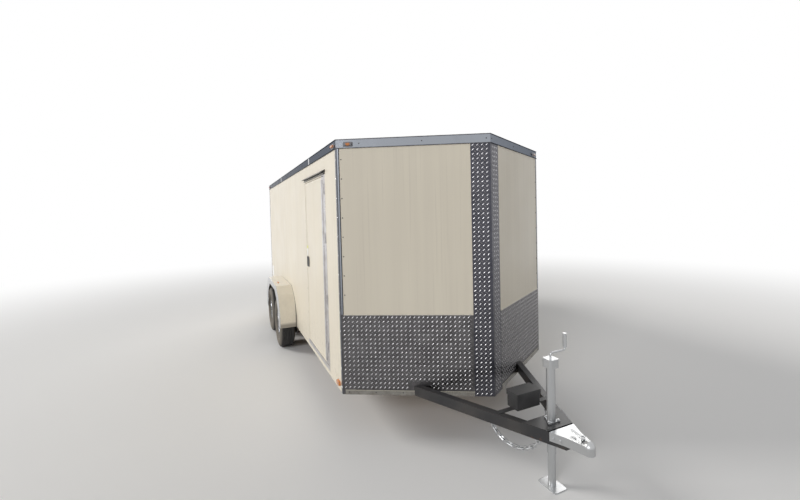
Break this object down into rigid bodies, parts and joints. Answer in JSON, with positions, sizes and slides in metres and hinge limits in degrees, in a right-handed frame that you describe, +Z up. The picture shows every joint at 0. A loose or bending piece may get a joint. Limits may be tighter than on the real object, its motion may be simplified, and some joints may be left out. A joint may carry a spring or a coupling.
{
  "type": "tandem-axle enclosed box trailer with v-shaped nose",
  "caption": "Enclosed box trailer with a V-shaped nose, side door, rear ramp door, leaf-sprung axles, fenders, A-frame tongue and tongue jack.",
  "frame": {"origin": "on the ground below the middle of the overall box", "axes": "+Z up, the front (coupler) towards -Y, the kerb side with the side door towards -X"},
  "size_m": [2.56, 6.416, 2.488],
  "materials": {
    "painted_skin": "semi-gloss cream paint, chalked by weather",
    "roof_sheet": "mill-finish sheet",
    "polished_trim": "polished",
    "tread_plate": "raised diamond tread, bright",
    "frame_steel": "satin black paint with rust at the edges",
    "zinc_steel": "zinc plated",
    "spring_steel": "rusted",
    "plywood": "bare plywood",
    "tyre_rubber": "matte",
    "bright_rim": "polished",
    "cast_drum": "painted black, rust at the edges",
    "amber_lens": "moulded lens",
    "red_lens": "moulded lens",
    "black_plastic": "moulded"
  },
  "bodies": {
    "trailer": {"chassis_frame": "frame_steel", "tongue": "frame_steel", "coupler": "zinc_steel", "jack_tube": "zinc_steel", "jack_crank": "zinc_steel", "battery_case": "black_plastic", "floor_deck": "plywood", "wall_left": "painted_skin", "wall_right": "painted_skin", "nose_wall_left": "painted_skin", "nose_wall_right": "painted_skin", "roof": "roof_sheet", "rear_frame": "painted_skin", "ramp_fixtures": "zinc_steel", "side_door_frame": "polished_trim", "drip_cap": "black_plastic", "top_trim": "polished_trim", "corner_trims": "polished_trim", "nose_cap": "tread_plate", "stone_guards": "tread_plate", "fender_left": "painted_skin", "fender_right": "painted_skin", "fender_skirts": "polished_trim", "axles": "frame_steel", "leaf_springs": "spring_steel", "spring_hangers": "spring_steel", "equalizers": "spring_steel", "safety_chains": "zinc_steel", "amber_lamps": "amber_lens", "red_lamps": "red_lens", "tail_lamps": "red_lens", "vent_frame": "polished_trim"},
    "side_door": {"side_door": "painted_skin", "side_door_trim": "polished_trim", "side_door_lock": "black_plastic"},
    "ramp_door": {"ramp_door": "painted_skin", "ramp_hardware": "zinc_steel", "plate_bracket": "black_plastic"},
    "jack_leg": {"jack_leg": "zinc_steel"},
    "vent_lid": {"vent_lid": "roof_sheet"},
    "wheel_front_right": {"tyre_front_right": "tyre_rubber", "rim_front_right": "bright_rim", "hub_front_right": "cast_drum"},
    "wheel_front_left": {"tyre_front_left": "tyre_rubber", "rim_front_left": "bright_rim", "hub_front_left": "cast_drum"},
    "wheel_rear_right": {"tyre_rear_right": "tyre_rubber", "rim_rear_right": "bright_rim", "hub_rear_right": "cast_drum"},
    "wheel_rear_left": {"tyre_rear_left": "tyre_rubber", "rim_rear_left": "bright_rim", "hub_rear_left": "cast_drum"}
  },
  "joints": [
    {"name": "side_door_hinge", "type": "hinge", "parent": "trailer", "child": "side_door", "pos_m": [-1.0753, -1.263, 1.3], "axis": [0, 0, 1], "range_deg": [0, 170]},
    {"name": "ramp_door_hinge", "type": "hinge", "parent": "trailer", "child": "ramp_door", "pos_m": [0, 3.164, 0.402], "axis": [-1, 0, 0], "range_deg": [0, 100]},
    {"name": "jack_slide", "type": "slide", "parent": "trailer", "child": "jack_leg", "axis": [0, 0, 1], "range_m": [0, 0.2]},
    {"name": "vent_lid_hinge", "type": "hinge", "parent": "trailer", "child": "vent_lid", "pos_m": [0, -0.073, 2.443], "axis": [1, 0, 0], "range_deg": [0, 70]},
    {"name": "wheel_front_right_spin", "type": "hinge", "parent": "trailer", "child": "wheel_front_right", "pos_m": [-1.172, 0.855, 0.344], "axis": [1, 0, 0], "continuous": true},
    {"name": "wheel_front_left_spin", "type": "hinge", "parent": "trailer", "child": "wheel_front_left", "pos_m": [1.172, 0.855, 0.344], "axis": [1, 0, 0], "continuous": true},
    {"name": "wheel_rear_right_spin", "type": "hinge", "parent": "trailer", "child": "wheel_rear_right", "pos_m": [-1.172, 1.719, 0.344], "axis": [1, 0, 0], "continuous": true},
    {"name": "wheel_rear_left_spin", "type": "hinge", "parent": "trailer", "child": "wheel_rear_left", "pos_m": [1.172, 1.719, 0.344], "axis": [1, 0, 0], "continuous": true}
  ]
}
